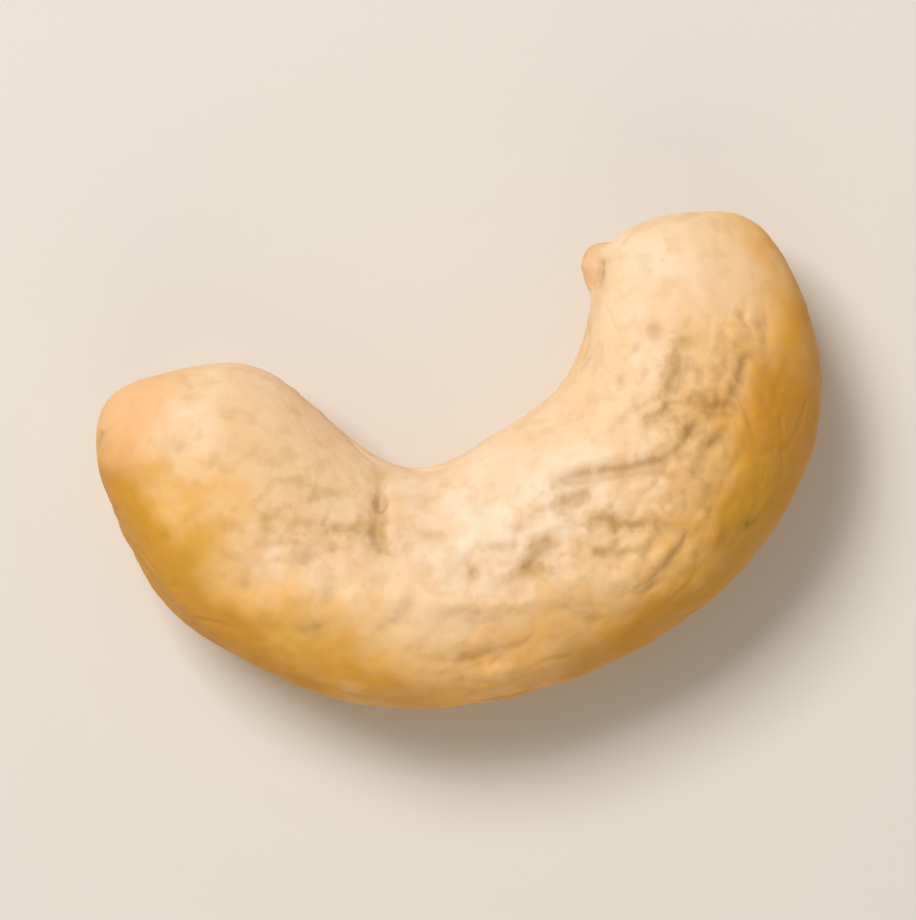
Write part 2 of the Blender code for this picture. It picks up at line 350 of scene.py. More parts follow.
@dataclass
class FurrowField:
    """The furrows, ridges and pits of the two faces, and the finer wrinkles between them.

    Attributes:
        broad, lower: Broad folds of the upper and of the lower face, as the solid has them.
        upper, pits: Narrow furrows of the upper face, and its pits and bumps.
        coarse: Where the upper face is coarse. Elsewhere noise draws the coarse places.
        scatters: The short furrows that are drawn at random, each in a few strides that turn a little.
        unevenness: The furrows' usual strength, how far it swings, and its least and greatest.
        softness, crack_width, halo_width: How many times wider than listed the narrow furrows are, and the
            crack at the bottom of each and the halo round it.
        lumps, fine_wrinkles: How long, wide and high they are.
    """

    broad: list[Furrow] = listed(
        Furrow,
        ((3.74, -0.9, 5.17, -0.64, 6.86, -0.51, 7.9, -0.39), 0.5, 0.14), ((3.36, -2.4, 4.53, -2.01,
        5.57, -1.37), 0.5, 0.09), ((2.31, -5.37, 2.97, -4.47, 3.21, -3.89, 4.27, -3.17, 6.36, -2.8,
        7.4, -3.04), 0.56, 0.14), ((8.29, -4.94, 8.81, -4.23, 9.46, -3.63, 9.99, -3.3), 0.5, 0.13),
        ((8.93, 3.34, 9.33, 3.84, 9.4, 4.56), 0.5, 0.12), ((7.79, 1.7, 8.43, 1.91, 8.87, 2.14, 10.0, 2.15,
        11.14, 2.01), 0.5, 0.11), ((11.64, 2.77, 12.07, 3.77, 12.21, 4.49), 0.52, 0.1), ((10.5, 0.2,
        10.93, 0.77, 11.21, 1.49), 0.5, 0.1), ((-3.53, -1.37, -3.59, -2.4, -3.64, -3.04, -3.4, -3.83),
        0.5, 0.14), ((-6.39, -4.23, -6.0, -3.83, -5.5, -3.57), 0.52, 0.1), ((-9.64, -2.8, -8.93, -3.23,
        -7.9, -3.5, -7.07, -3.66), 0.52, 0.08), ((-2.1, -5.9, -2.36, -6.43, -3.0, -7.09), 0.52, 0.1),
        ((0.07, -8.7, 1.01, -8.37, 1.41, -8.23, 2.84, -7.86), 0.52, 0.12), ((-14.4, -0.7, -13.86, -0.9,
        -13.1, -1.3), 0.8, 0.16), ((-8.0, -5.9, -4.6, -5.95, 0.1, -5.95, 3.6, -5.5, 7.2, -4.9), 0.75, -0.17),
        ((7.2, -4.9, 10.2, -2.9, 12.2, -0.1, 12.7, 3.3), 0.75, -0.13), ((3.9, 0.2, 6.2, 0.4, 8.0, 1.1),
        0.6, -0.13), ((-2.9, -2.1, -2.0, -1.9), 0.7, -0.16),
    )
    lower: list[Furrow] = listed(
        Furrow,
        ((-9.2, -1.6, -7.4, -2.9, -5.3, -3.6, -3.0, -3.7), 0.55, 0.2), ((-8.6, -5.2, -6.1, -6.6, -3.4, -7.3),
        0.52, 0.15), ((-1.8, -2.0, -1.2, -3.2, -1.5, -4.4), 0.5, 0.17), ((0.6, -4.2, 3.1, -3.9, 5.6, -3.1,
        7.7, -1.9), 0.55, 0.2), ((2.4, -6.6, 4.8, -6.1, 7.4, -4.9), 0.5, 0.15), ((7.4, 0.6, 8.8, 1.8,
        9.6, 3.3, 9.8, 4.9), 0.52, 0.16), ((10.6, -0.6, 11.9, 1.0, 12.5, 2.9), 0.5, 0.14), ((-11.9, 0.9,
        -10.4, 0.2, -9.5, -0.4), 0.5, 0.14),
    )
    upper: list[Furrow] = listed(
        Furrow,
        ((3.9, -0.92, 5.1, -0.7, 6.0, -0.6, 7.0, -0.52, 7.8, -0.37, 8.25, -0.2), 0.24, 0.15), ((8.2, -0.2,
        9.1, 0.3, 9.5, 0.7, 9.95, 1.25), 0.2, 0.15), ((8.0, 0.35, 8.9, 0.75, 9.5, 1.35, 10.3, 1.6),
        0.28, -0.1), ((3.3, -2.4, 4.6, -1.8, 5.7, -1.1), 0.28, 0.09), ((6.0, -1.35, 7.1, -1.2, 8.3, -0.95),
        0.4, -0.07), ((6.5, 1.3, 7.25, 1.9, 7.9, 2.3), 0.22, 0.07), ((7.95, 1.68, 8.45, 1.92, 8.9, 2.3),
        0.17, 0.13), ((8.85, 2.28, 9.9, 2.22, 11.2, 2.16), 0.2, 0.11), ((8.9, 0.95, 9.7, 1.35, 10.6, 1.75,
        11.2, 2.3), 0.2, 0.08), ((9.38, 4.75, 9.25, 4.0, 9.0, 3.25, 8.75, 2.85), 0.26, 0.18), ((9.64, 4.6,
        9.6, 3.7), 0.2, -0.07), ((12.05, 4.25, 11.87, 3.45, 11.6, 2.75, 11.28, 2.05), 0.24, 0.14),
        ((11.1, 1.25, 10.95, 0.6, 10.55, 0.35), 0.18, 0.11), ((10.6, -1.1, 10.95, -1.55), 0.15, 0.06),
        ((7.1, -2.85, 7.8, -2.78), 0.2, 0.13), ((8.3, -2.68, 9.25, -3.07), 0.18, 0.13), ((5.7, -3.95,
        6.95, -4.0), 0.18, 0.13), ((5.7, -2.55, 6.4, -2.5, 6.9, -3.0, 6.7, -3.5), 0.26, 0.09), ((9.5, -3.4,
        9.05, -3.95, 8.6, -4.6), 0.24, 0.07), ((8.9, -3.55, 8.2, -4.15), 0.24, -0.06), ((1.7, -5.35,
        2.45, -5.15, 2.95, -4.6, 3.3, -3.95, 3.75, -3.6), 0.28, 0.07), ((3.3, -3.9, 4.2, -3.55, 5.2, -3.4),
        0.22, 0.09), ((0.9, -3.7, 2.6, -3.6), 0.18, 0.05), ((-1.2, -5.98, 1.2, -6.02, 3.3, -5.88),
        0.28, -0.09), ((-0.5, -6.62, 2.6, -6.52), 0.32, 0.05), ((4.2, -6.3, 5.8, -6.75, 7.2, -6.55),
        0.24, 0.07), ((1.3, -8.95, 2.1, -8.8), 0.32, -0.11), ((0.3, -8.5, 1.2, -8.3, 2.3, -8.0), 0.34, 0.03),
        ((-3.32, -0.8, -3.3, -1.5, -3.28, -2.2), 0.22, 0.1), ((-3.3, -1.7, -3.34, -2.5, -3.5, -3.0,
        -3.3, -3.9), 0.24, 0.17), ((-5.0, -3.05, -4.2, -2.95, -3.6, -2.9), 0.28, 0.03), ((-2.7, -3.15,
        -0.8, -3.1), 0.22, 0.09), ((-5.5, -2.75, -4.25, -2.85), 0.2, 0.08), ((-5.4, -3.85, -4.0, -4.0),
        0.2, 0.06), ((-8.1, -2.5, -7.0, -2.8), 0.18, 0.07), ((-9.6, -2.9, -8.7, -3.55, -7.05, -3.65),
        0.24, 0.09), ((-9.4, 0.45, -8.3, 0.1, -7.0, -0.2), 0.3, 0.06), ((-5.9, -1.3, -4.7, -1.4),
        0.26, 0.05), ((-8.0, -7.15, -6.3, -7.3, -5.5, -7.1), 0.34, 0.1), ((-2.05, -5.85, -2.25, -6.35,
        -2.6, -6.85), 0.28, 0.06), ((-12.7, 1.2, -11.9, 0.6, -11.6, -0.3), 0.3, 0.05), ((-12.6, -5.2,
        -11.6, -6.1, -10.6, -7.0), 0.22, -0.07), ((-15.25, 1.1, -15.48, 0.65, -15.62, 0.25), 0.14, 0.1),
        ((5.96, 8.4, 5.9, 7.9, 5.88, 7.4), 0.14, 0.14),
    )
    pits: list[Spot] = listed(
        Spot,
        (0.68, -4.85, 0.28, 0.16), (0.4, -4.35, 0.2, 0.05), (9.63, 0.09, 0.2, 0.11),
        (9.78, 1.15, 0.26, 0.09), (11.22, 2.0, 0.24, 0.13), (10.16, 3.25, 0.18, 0.09),
        (12.8, 5.62, 0.36, 0.13), (12.0, 6.08, 0.3, 0.08), (8.18, 5.36, 0.38, 0.1), (9.63, 5.75, 0.22, 0.08),
        (10.62, -2.21, 0.22, 0.12), (10.45, -2.75, 0.2, 0.08), (10.7, 0.48, 0.2, 0.08),
        (12.2, -2.9, 0.2, 0.08), (10.88, -3.07, 0.33, -0.1), (7.8, -3.35, 0.38, -0.09),
        (5.3, -3.2, 0.32, -0.07), (12.45, 4.55, 0.32, -0.08), (11.6, 4.95, 0.28, -0.07),
        (10.6, 4.1, 0.3, -0.05), (7.3, -5.0, 0.6, -0.08), (-2.1, -1.9, 0.7, -0.1), (-6.3, -4.15, 0.42, 0.14),
        (-4.7, -3.3, 0.4, -0.08), (-9.0, -4.0, 0.55, -0.1), (-9.0, -5.35, 0.4, 0.11),
        (-5.4, -5.65, 0.5, 0.11), (-6.9, -5.7, 0.45, -0.08), (-12.4, -3.4, 0.3, 0.07),
        (-13.8, 2.1, 0.45, 0.05),
    )
    coarse: list[Spot] = listed(
        Spot,
        (10.2, 1.6, 2.5, 1.0), (11.4, 4.8, 1.5, 0.6), (6.6, -3.2, 2.2, 0.9), (9.2, -2.6, 1.6, 0.6),
        (2.6, -4.8, 1.6, 0.5), (0.8, -8.2, 1.4, 0.6), (-4.8, -3.2, 1.8, 0.4), (-8.0, -2.9, 1.6, 0.3),
    )
    scatters: list[Scatter] = listed(
        Scatter,
        (130, (0.8, 11.2), (-math.pi, 0.40), 0.5, (0.12, 0.24), (0.02, 0.07)),
        (30, (0.8, 11.2), (math.pi - 0.60, math.pi), 0.5, (0.12, 0.22), (0.02, 0.06)),
        (80, (6.2, 9.4), (0.7, 2.6), 1.3, (0.10, 0.20), (0.015, 0.055)),
        (25, (1.6, 6.2), (0.9, 2.5), 1.0, (0.14, 0.28), (0.01, 0.035)),
    )
    scatter_seed: int = 11
    folds_from: Range = (0.05, 0.30)
    steep_side: Range = (-0.6, 0.8)
    lean: float = 0.40
    read_within: float = 3.5
    warp: Warp = Warp(((1.10, 0.13), (0.40, 0.030)), (0.0, 3.0, 9.0), (17.0, 0.0, 0.0))
    fray: Warp = Warp(((2.4, 0.55), (0.9, 0.22)), (5.0, 0.0, 7.0), (0.0, 31.0, 0.0))
    lump_warp: Warp = Warp(((1.6, 0.5),), (3.0, 1.0, 4.0), (11.0, 0.0, 0.0))
    unevenness: tuple[float, float, float, float] = (0.95, 0.7, 0.60, 1.40)
    uneven_swings: tuple[Range, ...] = ((1.3, 1.0), (0.5, 0.6))
    softness: float = 1.18
    crack_width: float = 0.78
    crack_from: float = 0.6
    crack_share: float = 0.12
    loose_points: tuple[int, int] = (2, 4)
    loose_turn: float = 0.35
    loose_stride: Range = (0.22, 0.14)
    drawn_wavelength: float = 3.1
    drawn_from: Range = (-0.35, 0.45)
    drawn_share: float = 0.6
    straight_scale: Range = (3.9, 5.0)
    lumps: Triple = (2.0, 1.15, 0.075)
    fine_wrinkles: Triple = (1.5, 0.55, 0.018)
    fine_wrinkles_from: float = 0.30
    pebbles: tuple[Range, ...] = ((1.7, 0.058), (0.85, 0.038), (0.50, 0.022))
    creased_size: int = 1
    dimples: Range = (0.56, 0.060)
    dimples_from: Range = (0.22, 0.60)
    least_wrinkled: float = 0.22
    least_pebbled: float = 0.28
    halo_width: float = 3.0
    halo_depth: float = 0.16
    strength: float = 1.40
    wrinkle_place: Vector = field(default_factory=lambda: Vector((11.3, 5.1, 2.6)))

    def profile(self, points: Array, path: Array, half_width: float) -> Array:
        """Finds where one furrow lies. Its wall is steeper on one side, as where skin has folded over.

        Args:
            points: The skin's points, in as many dimensions as the path has.
            path: The furrow's points in order.
            half_width: From its middle to where it has mostly faded.

        Returns:
            1 in the middle of the furrow, fading to 0 beside it and at both its ends.
        """
        reach = self.read_within * half_width
        low, high = path.min(axis=0) - reach, path.max(axis=0) + reach
        near_by = np.flatnonzero(np.all((points > low) & (points < high), axis=1))
        found = np.zeros(len(points))
        if not len(near_by):
            return found
        chosen = points[near_by]
        nearest = np.full(len(chosen), np.inf)
        travel = np.zeros(len(chosen))
        run = 0.0
        for start, step in zip(path[:-1], np.diff(path, axis=0)):
            length = np.linalg.norm(step)
            share = np.clip(((chosen - start) @ step) / length**2, 0.0, 1.0)
            offset = chosen - start - share[:, None] * step
            away = np.linalg.norm(offset, axis=1) + TINY
            away /= half_width * (1.0 - self.lean * (offset[:, :2] @ self.steep_side) / away)
            travel = np.where(away < nearest, run + share * length, travel)
            nearest = np.minimum(away, nearest)
            run += length
        fade = np.sin(math.pi * (travel + half_width) / (run + 2.0 * half_width)) ** 0.5
        found[near_by] = fade * np.exp(-(nearest**2))
        return found

    def folds(self, skin: Skin, furrows: list[Furrow], side: Side, widen: float = 1.0) -> Array:
        """Sums furrows of one face.

        Args:
            skin: Where to look.
            furrows: The furrows.
            side: The face that they lie on.
            widen: How many times wider than listed they are.

        Returns:
            How far they sink the skin.
        """
        sunk = np.zeros(len(skin.points))
        for furrow in furrows:
            path = np.reshape(furrow.path, (-1, 2))
            sunk += furrow.depth * self.profile(skin.points[:, :2], path, furrow.half_width * widen)
        return sunk * smooth_step(side.value * skin.up, *self.folds_from)

    def broad_relief(self, skin: Skin) -> Array:
        """How far the broad folds of both faces raise the skin."""
        return -self.folds(skin, self.broad, Side.UPPER) - self.folds(skin, self.lower, Side.LOWER)

    def loose_furrows(self, form: KernelForm) -> list[tuple[Array, float, float]]:
        """Draws the short furrows.

        Args:
            form: The kernel's form, which the furrows lie on.

        Returns:
            The path in space, the half width and the depth of each.
        """
        draw = random.Random(self.scatter_seed)
        along, around = self.loose_stride
        furrows = []
        for scatter in self.scatters:
            for _ in range(scatter.count):
                places, turns = [draw.uniform(*scatter.places)], [draw.uniform(*scatter.turns)]
                heading = draw.gauss(0.0, scatter.crossing)
                for _ in range(draw.randint(*self.loose_points)):
                    heading += draw.gauss(0.0, self.loose_turn)
                    places.append(places[-1] + along * math.cos(heading))
                    turns.append(turns[-1] + around * math.sin(heading))
                path = form.skin(np.array(places), np.array(turns)).points
                half_width = draw.uniform(*scatter.half_widths)
                furrows.append((path, half_width, draw.uniform(*scatter.depths)))
        return furrows

    def fine_relief(self, skin: Skin, form: KernelForm) -> Array:
        """Works out the furrows, pits and wrinkles that are finer than the broad folds.

        Args:
            skin: The skin, with its broad relief.
            form: The kernel's form.

        Returns:
            The height at each point.
        """
        bent = replace(skin, points=self.warp.moved(skin.points, skin.points))
        patchy = sum(
            height * noise_at(skin.points, wavelength, self.wrinkle_place)
            for wavelength, height in self.uneven_swings
        )
        usual, swing, least, most = self.unevenness
        uneven = np.clip(usual + swing * patchy, least, most)
        valleys = self.folds(bent, self.upper, Side.UPPER, self.softness)
        for path, half_width, depth in self.loose_furrows(form):
            valleys += depth * self.profile(bent.points, path, half_width)
        cracks = self.folds(bent, self.upper, Side.UPPER, self.crack_width)
        cracks *= np.clip(uneven - self.crack_from, 0.0, 1.0)
        raised = -valleys * uneven - self.crack_share * cracks
        raised -= smooth_step(skin.up, *self.folds_from) * spread(bent.points, self.pits)
        return self.strength * (raised + self.wrinkles(bent) + self.pebbling(skin))

    def roughened(self, skin: Skin) -> Array:
        """How coarse the skin is: in listed spots on the upper face, and in drawn places elsewhere."""
        upper = skin.upper()
        swell = noise_at(skin.points, self.drawn_wavelength, self.wrinkle_place * 0.5)
        drawn = smooth_step(swell, *self.drawn_from)
        spotted = spread(self.fray.moved(skin.points, skin.points), self.coarse)
        return np.clip(upper * spotted + self.drawn_share * (1.0 - upper) * drawn, 0.0, 1.0)

    def amount(self, skin: Skin, least: float) -> Array:
        """How strong a texture is: whole where the skin is coarse, and least where it is smooth."""
        return least + (1.0 - least) * self.roughened(skin)

    def wrinkles(self, skin: Skin) -> Array:
        """Lumps with soft valleys between them, drawn out along the kernel, and fine wrinkles over them."""
        straight = self.lump_warp.moved(skin.straightened(*self.straight_scale), skin.points)
        long, wide, height = self.lumps
        fine_long, fine_wide, fine_height = self.fine_wrinkles
        lump = 1.0 - np.abs(noise_at(straight, (long, wide, wide), self.wrinkle_place))
        fine = 1.0 - np.abs(noise_at(straight, (fine_long, fine_wide, fine_wide), self.wrinkle_place * 2.0))
        amount = self.amount(skin, self.least_wrinkled)
        fine_amount = fine_height * (amount - self.fine_wrinkles_from)
        return amount * height * (1.0 - lump**3) + fine_amount * (1.0 - fine**7)

    def pebbling(self, skin: Skin) -> Array:
        """Low round bumps of several sizes, with creases between the bumps of one of them, and dimples."""
        raised = np.zeros(len(skin.points))
        for size, (wavelength, height) in enumerate(self.pebbles):
            swell = noise_at(skin.points, wavelength, self.wrinkle_place * (3.0 + size))
            raised += height * (2.0 * np.abs(swell) - 0.5 if size == self.creased_size else swell)
        spacing, depth = self.dimples
        swell = noise_at(skin.points, spacing, self.wrinkle_place * 7.0)
        raised -= depth * smooth_step(swell, *self.dimples_from)
        return raised * self.amount(skin, self.least_pebbled)

    def halo(self, skin: Skin) -> Array:
        """How near the narrow furrows each point of the upper face is, from 0 to 1."""
        near = self.folds(skin, self.upper, Side.UPPER, self.halo_width)
        return np.clip(near / self.halo_depth, 0.0, 1.0)


@dataclass
class FleshTones:
    """Where the flesh has which tone.

    Attributes:
        golden: Where it is more golden than the turn of the skin makes it, or paler. Along the lower rim and
            at the blunt end's lower edge its spots add painted shade.
        rosy, ivory, olive and the greyish tan: Where it is pinkish, pale, greenish golden or greyish tan. The
            greyish
        tan is partly the skin's own dry tone and partly painted shade round the furrows and in darker places.
        golden_from: How far out the gold starts and is whole, where -1 is the inner rim and 1 the outer one.
            The gold is partly the flesh's own colour and partly painted shade on the outer side.
        rim_from: The same of the deeper gold of the rim, which is partly its own colour and partly painted
            shade.
        blunt_slant, blunt_until: How the border of the blunt end's tan leans, and where it fades out.
        whole_depth: The depth that is fully brown, as painted shade in the creases.
    """

    # Along the lower rim and at the blunt end's lower edge these spots add painted shade.
    golden: list[Spot] = listed(
        Spot,
        (11.8, 7.8, 2.2, -0.3), (12.2, 1.6, 2.4, 0.5), (12.4, 3.2, 1.0, 0.3), (4.8, -8.2, 1.8, 0.15),
        (-3.8, -9.0, 1.8, 0.25), (-8.8, -4.4, 1.4, -0.25), (7.2, -4.9, 1.5, -0.35), (0.3, -6.2, 2.4, -0.15),
        (8.8, -2.2, 1.5, -0.35), (12.6, -3.2, 1.7, 0.8), (8.6, -7.2, 1.8, 0.15), (-14.3, -1.5, 1.7, 0.5),
        (-12.6, -4.4, 1.8, 0.3), (-9.4, -6.8, 1.4, 0.35), (-10.5, -4.6, 1.2, -0.05), (-5.2, -8.2, 2.0, 0.25),
        (-2.0, -7.0, 1.2, -0.3), (10.6, -1.2, 1.2, 0.1),
    )
    rosy: list[Spot] = listed(
        Spot,
        (-14.0, 1.4, 1.6, 0.8), (-8.6, 3.3, 1.2, 0.5), (-1.6, -1.9, 1.2, 0.6), (2.6, 0.8, 1.1, 0.6),
        (-9.0, -4.0, 0.7, 0.7), (-2.4, -5.0, 1.3, 0.5), (7.2, -4.8, 0.9, 0.7), (12.6, 4.8, 0.7, 0.9),
        (9.0, -1.4, 1.0, 0.4), (12.2, 7.6, 1.9, 0.9), (-6.6, 0.9, 1.5, 0.8),
    )
    ivory: list[Spot] = listed(
        Spot,
        (0.6, -3.2, 3.6, 1.0), (4.6, -1.4, 2.2, 0.7), (8.0, 6.8, 2.6, 0.6), (7.2, -1.5, 1.1, 0.6),
        (-11.6, 1.4, 1.0, 0.7), (-7.4, -5.2, 1.6, 0.4), (-9.0, -4.2, 1.1, 0.5),
    )
    olive: list[Spot] = listed(
        Spot,
        (11.8, -3.0, 1.6, 1.1), (13.0, -0.6, 1.1, 0.7), (10.2, -4.9, 1.2, 0.6), (8.6, -7.0, 1.3, 0.3),
        (5.4, -8.3, 1.3, 0.5), (-3.8, -8.6, 1.2, 0.4), (-6.4, -7.4, 1.4, 0.6), (-11.6, -4.2, 2.3, 0.6),
        (-13.7, -1.6, 1.1, 0.35), (-3.1, -7.1, 0.4, 0.5),
    )
    # Greyish tan spots, partly the skin's dry tone and partly painted shade on the outer arm and the blunt
    # end's edge.
    dry_and_shade: list[Spot] = listed(
        Spot,
        (-6.9, -1.7, 1.7, 0.6), (-10.0, 0.9, 1.6, 0.4), (-5.6, -3.6, 1.3, 0.5), (6.3, -3.0, 0.9, 0.8),
        (3.4, -4.5, 0.9, 0.5), (8.2, 5.4, 0.5, 0.7), (9.2, 3.9, 0.6, 0.5), (11.8, 1.6, 2.6, 1.0),
        (12.2, -2.8, 1.3, 0.8), (12.2, 3.0, 1.5, 0.7), (11.2, -1.1, 2.0, 0.9), (12.0, 3.2, 0.7, 0.8),
        (-14.2, -1.2, 1.6, 0.9), (-11.4, -4.8, 1.4, 0.7), (0.4, -5.0, 0.7, 0.3), (-1.6, -3.2, 0.6, 0.35),
        (2.6, -4.6, 0.8, 0.2), (7.1, -1.2, 0.8, -0.6),
    )
    golden_from: Range = (-0.35, 1.10)
    rim_from: Range = (0.75, 1.35)
    rim_share: float = 0.85
    drift_wavelength: float = 3.2
    drift_share: float = 0.25
    speckle_wavelength: float = 0.9
    speckle_share: float = 0.12
    ends_share: float = 0.38
    middle_x: float = -0.5
    ends_from: Range = (2.0, 10.0)
    root_end_from: Range = (9.6, 11.4)
    poles_until: Range = (-0.2, 0.8)
    elsewhere_from: Range = (0.05, 0.45)
    elsewhere_rosy: float = 0.5
    elsewhere_olive: float = 0.6
    blunt_slant: float = 0.5
    blunt_until: Range = (-14.6, -12.4)
    # How much greyish tan, which is painted shade, lies round the narrow furrows.
    halo_dryness_and_shade: float = 0.55
    whole_depth: float = 0.28
    deep_from: float = 0.14
    deep_most: float = 0.38
    # The width and the strength of the painted shade along the seam.
    seam_height: float = 0.16
    seam_share: float = 0.45
    tip_share: float = 0.7
    tip_most: float = 0.50

    def masks(
        self, skin: Skin, fine: Array, form: KernelForm, furrows: FurrowField
    ) -> dict[str, Array]:
        """Works out the masks that the finish reads.

        Args:
            skin: The skin, with its broad relief.
            fine: The fine relief.
            form: The kernel's form.
            furrows: The furrows.

        Returns:
            Each mask by name, from 0 to 1.
        """
        points = skin.points
        frayed = furrows.fray.moved(points, points)
        upper = skin.upper()
        drift = noise_at(points, self.drift_wavelength, Vector((5.0, 5.0, 5.0)))
        speckle = noise_at(points, self.speckle_wavelength, Vector((2.0, 7.0, 1.0)))
        strength, above = form.seam(points)
        # A band along the seam, which is painted shade in its groove.
        seam = strength * np.exp(-((above / self.seam_height) ** 2))
        ends = smooth_step(np.abs(points[:, 0] - self.middle_x), *self.ends_from)
        ends *= 1.0 - smooth_step(skin.place, *self.root_end_from)
        from_end = np.minimum(skin.place, form.last_place - skin.place)
        outward = self.drift_share * drift + self.speckle_share * speckle + self.ends_share * ends
        outward -= skin.across * smooth_step(from_end, *self.poles_until)
        # Listed spots add gold; along the lower rim and the blunt end's lower edge that gold is painted
        # shade.
        outward += upper * spread(frayed, self.golden)
        # The outer side turns gold: partly the flesh's own colour, partly painted shade where the skin turns
        # away.
        side = smooth_step(outward, *self.golden_from)
        elsewhere = (1.0 - upper) * smooth_step(drift, *self.elsewhere_from)
        slanted = frayed[:, 0] - self.blunt_slant * frayed[:, 1]
        # Painted shade round the narrow furrows, as greyish tan.
        beside = np.clip(self.halo_dryness_and_shade + speckle, 0.0, 1.0) * furrows.halo(skin)
        masks = {
            # Painted shade in the creases, where the fine relief sinks, and along the seam.
            "deep": np.clip(-fine / self.whole_depth - self.deep_from, 0.0, self.deep_most)
            + self.seam_share * seam,
            # Gold on the outer side, partly painted shade.
            "side": side,
            # Deeper gold at the rim, partly painted shade.
            "rim": self.rim_share * smooth_step(outward, *self.rim_from),
            "rosy": upper * spread(frayed, self.rosy) + self.elsewhere_rosy * elsewhere * (1.0 - side),
            "olive": upper * spread(frayed, self.olive) + self.elsewhere_olive * elsewhere * side,
            # Greyish tan, partly painted shade.
            "dry_and_shade": upper * spread(frayed, self.dry_and_shade) + beside,
            "rough": furrows.roughened(skin),
            "ivory": upper * spread(frayed, self.ivory),
            "blunt": 1.0 - smooth_step(slanted, *self.blunt_until),
            "tip": np.minimum(self.tip_share * form.root_knob(points), self.tip_most),
        }
        return {name: np.clip(values, 0.0, 1.0) for name, values in masks.items()}


class NodeBench:
    """A node tree under construction: adds nodes to it and links them."""

    def __init__(self, tree: bpy.types.NodeTree) -> None:
        """Starts on a tree."""
        self.tree = tree

    def add(self, kind: str) -> bpy.types.Node:
        """Adds a shader node."""
        return self.tree.nodes.new("ShaderNode" + kind)

    @staticmethod
    def put(node: bpy.types.Node, **values: float | tuple[float, ...]) -> None:
        """Sets inputs of a node, by name with _ for each space."""
        for name, value in values.items():
            node.inputs[name.replace("_", " ")].default_value = value

    def link(self, source: Socket, target: Socket) -> None:
        """Links two sockets."""
        self.tree.links.new(source, target)

    def math(self, operation: str, *sources: float | Socket, clamp: bool = False) -> Socket:
        """Adds a Math node.

        Args:
            operation: The operation's name.
            sources: Numbers or sockets for its inputs.
            clamp: Whether the result is kept between 0 and 1.

        Returns:
            Its output.
        """
        node = self.add("Math")
        node.operation = operation
        node.use_clamp = clamp
        for socket, source in zip(node.inputs, sources):
            if isinstance(source, Socket):
                self.link(source, socket)
            else:
                socket.default_value = source
        return node.outputs[0]

    def noise(self, scale: Socket) -> bpy.types.Node:
        """Adds a noise texture of this scale, over the object's own coordinates."""
        pattern = self.add("TexNoise")
        self.link(self.add("TexCoord").outputs["Object"], pattern.inputs["Vector"])
        self.link(scale, pattern.inputs["Scale"])
        return pattern


class GroupBench(NodeBench):
    """A shader node group under construction."""

    def __init__(self, name: str, inputs: dict[str, float], output: str) -> None:
        """Starts a group with an output and with inputs, which are given by name with their usual values."""
        super().__init__(bpy.data.node_groups.new(name, "ShaderNodeTree"))
        for label, value in inputs.items():
            socket = self.tree.interface.new_socket(label, in_out="INPUT", socket_type="NodeSocketFloat")
            socket.default_value = value
        self.tree.interface.new_socket(output, in_out="OUTPUT", socket_type="NodeSocketFloat")
        self.given = self.tree.nodes.new("NodeGroupInput").outputs
        self.result = self.tree.nodes.new("NodeGroupOutput").inputs[output]


@cache
def patches_group() -> Group:
    """Soft patches: 0 and 1 with a soft border, wherever noise of a given size rises past a level."""
    inputs = {"Scale": 300.0, "Level": 0.5, "Softness": 0.15, "Detail": 2.0}
    bench = GroupBench("soft_patches", inputs, "Mask")
    pattern = bench.noise(bench.given["Scale"])
    bench.link(bench.given["Detail"], pattern.inputs["Detail"])
    past = bench.math("SUBTRACT", pattern.outputs["Fac"], bench.given["Level"])
    steps = bench.math("DIVIDE", past, bench.given["Softness"])
    bench.link(bench.math("ADD", steps, 0.5, clamp=True), bench.result)
    return bench.tree


@cache
def grain_group() -> Group:
    """Fine grain: a height made of noise at two sizes, the second a third of the first."""
    bench = GroupBench("fine_grain", {"Scale": 3000.0, "Fine Share": 0.5}, "Height")
    heights = []
    for ratio in (1.0, 3.0):
        pattern = bench.noise(bench.math("MULTIPLY", bench.given["Scale"], ratio))
        bench.put(pattern, Detail=2.0)
        heights.append(pattern.outputs["Fac"])
    fine = bench.math("MULTIPLY", heights[1], bench.given["Fine Share"])
    bench.link(bench.math("ADD", heights[0], fine), bench.result)
    return bench.tree


class MaterialBench(NodeBench):
    """A material under construction."""

    def __init__(self, name: str) -> None:
        """Starts a material with one Principled BSDF."""
        self.material = bpy.data.materials.new(name)
        self.material.use_nodes = True
        super().__init__(self.material.node_tree)
        self.shader = self.tree.nodes["Principled BSDF"]

    def mask(self, name: str) -> Socket:
        """Reads a mask that is stored on the mesh."""
        node = self.add("Attribute")
        node.attribute_name = name
        return node.outputs["Fac"]

    def group(self, tree: Group, **values: float) -> Socket:
        """Places a shader node group.

        Args:
            tree: The group.
            values: Its inputs by name, with _ for each space.

        Returns:
            Its only output.
        """
        node = self.add("Group")
        node.node_tree = tree
        self.put(node, **values)
        return node.outputs[0]

    def mix(self, share: Socket, below: Colour | Socket, above: Colour) -> Socket:
        """Lays a colour over another.

        Args:
            share: How much of the upper one shows.
            below: The lower one, a colour or a socket.
            above: The upper one.

        Returns:
            The mixed colour.
        """
        node = self.add("Mix")
        node.data_type = "RGBA"
        self.link(share, node.inputs["Factor"])
        for name, colour in (("A", below), ("B", above)):
            socket = next(s for s in node.inputs if s.name == name and s.type == "RGBA")
            if isinstance(colour, Socket):
                self.link(colour, socket)
            else:
                socket.default_value = (*colour, 1.0)
        return next(s for s in node.outputs if s.type == "RGBA")

    def bump(self, height: Socket, distance: float, strength: float) -> None:
        """Bumps the shader's normal by a height, over a distance in metres."""
        node = self.add("Bump")
        self.put(node, Distance=distance, Strength=strength)
        self.link(height, node.inputs["Height"])
        self.link(node.outputs["Normal"], self.shader.inputs["Normal"])


